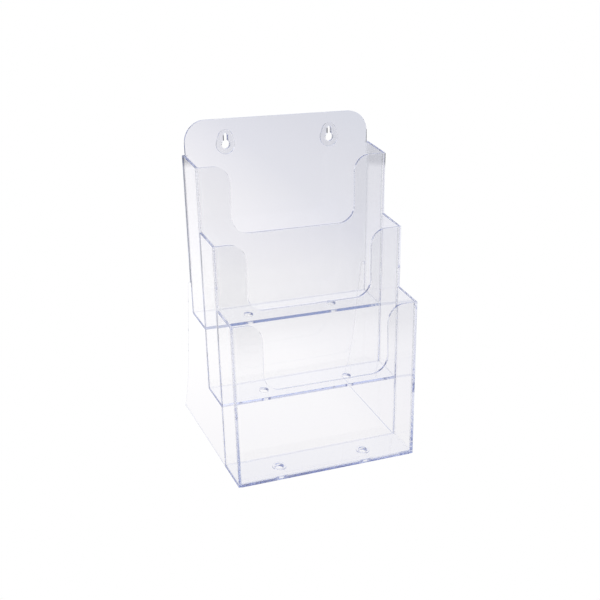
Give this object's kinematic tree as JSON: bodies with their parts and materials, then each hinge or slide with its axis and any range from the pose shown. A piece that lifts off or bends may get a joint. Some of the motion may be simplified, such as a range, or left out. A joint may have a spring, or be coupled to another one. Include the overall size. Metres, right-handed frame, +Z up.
{
  "type": "brochure rack",
  "caption": "Clear plastic brochure rack: stepped scooped pockets for folded A5 leaflets between two side plates, with a tall keyholed back panel. Stands on a table or hangs on a wall.",
  "frame": {"origin": "on the table, below the middle of the rack's box", "axes": "+X across the rack, to the right of someone facing its pockets; +Y from the front panels to the back; +Z up"},
  "size_m": [0.1802, 0.1552, 0.277],
  "materials": {
    "side_sheet": "clear, glossy",
    "front_sheet": "clear, glossy",
    "back_sheet": "clear, glossy",
    "floor_sheet": "clear, glossy, blue at its edges",
    "pad": "clear, glossy",
    "collar": "clear, glossy"
  },
  "bodies": {
    "root": {"side_plate_left": "side_sheet", "side_plate_right": "side_sheet", "front_panel_lower": "front_sheet", "front_panel_middle": "front_sheet", "front_panel_upper": "front_sheet", "floor_lower": "floor_sheet", "floor_middle": "floor_sheet", "floor_upper": "floor_sheet", "back_panel": "back_sheet", "keyhole_pad_left": "pad", "keyhole_pad_right": "pad", "hole_collar_left": "collar", "hole_collar_right": "collar"}
  },
  "joints": []
}
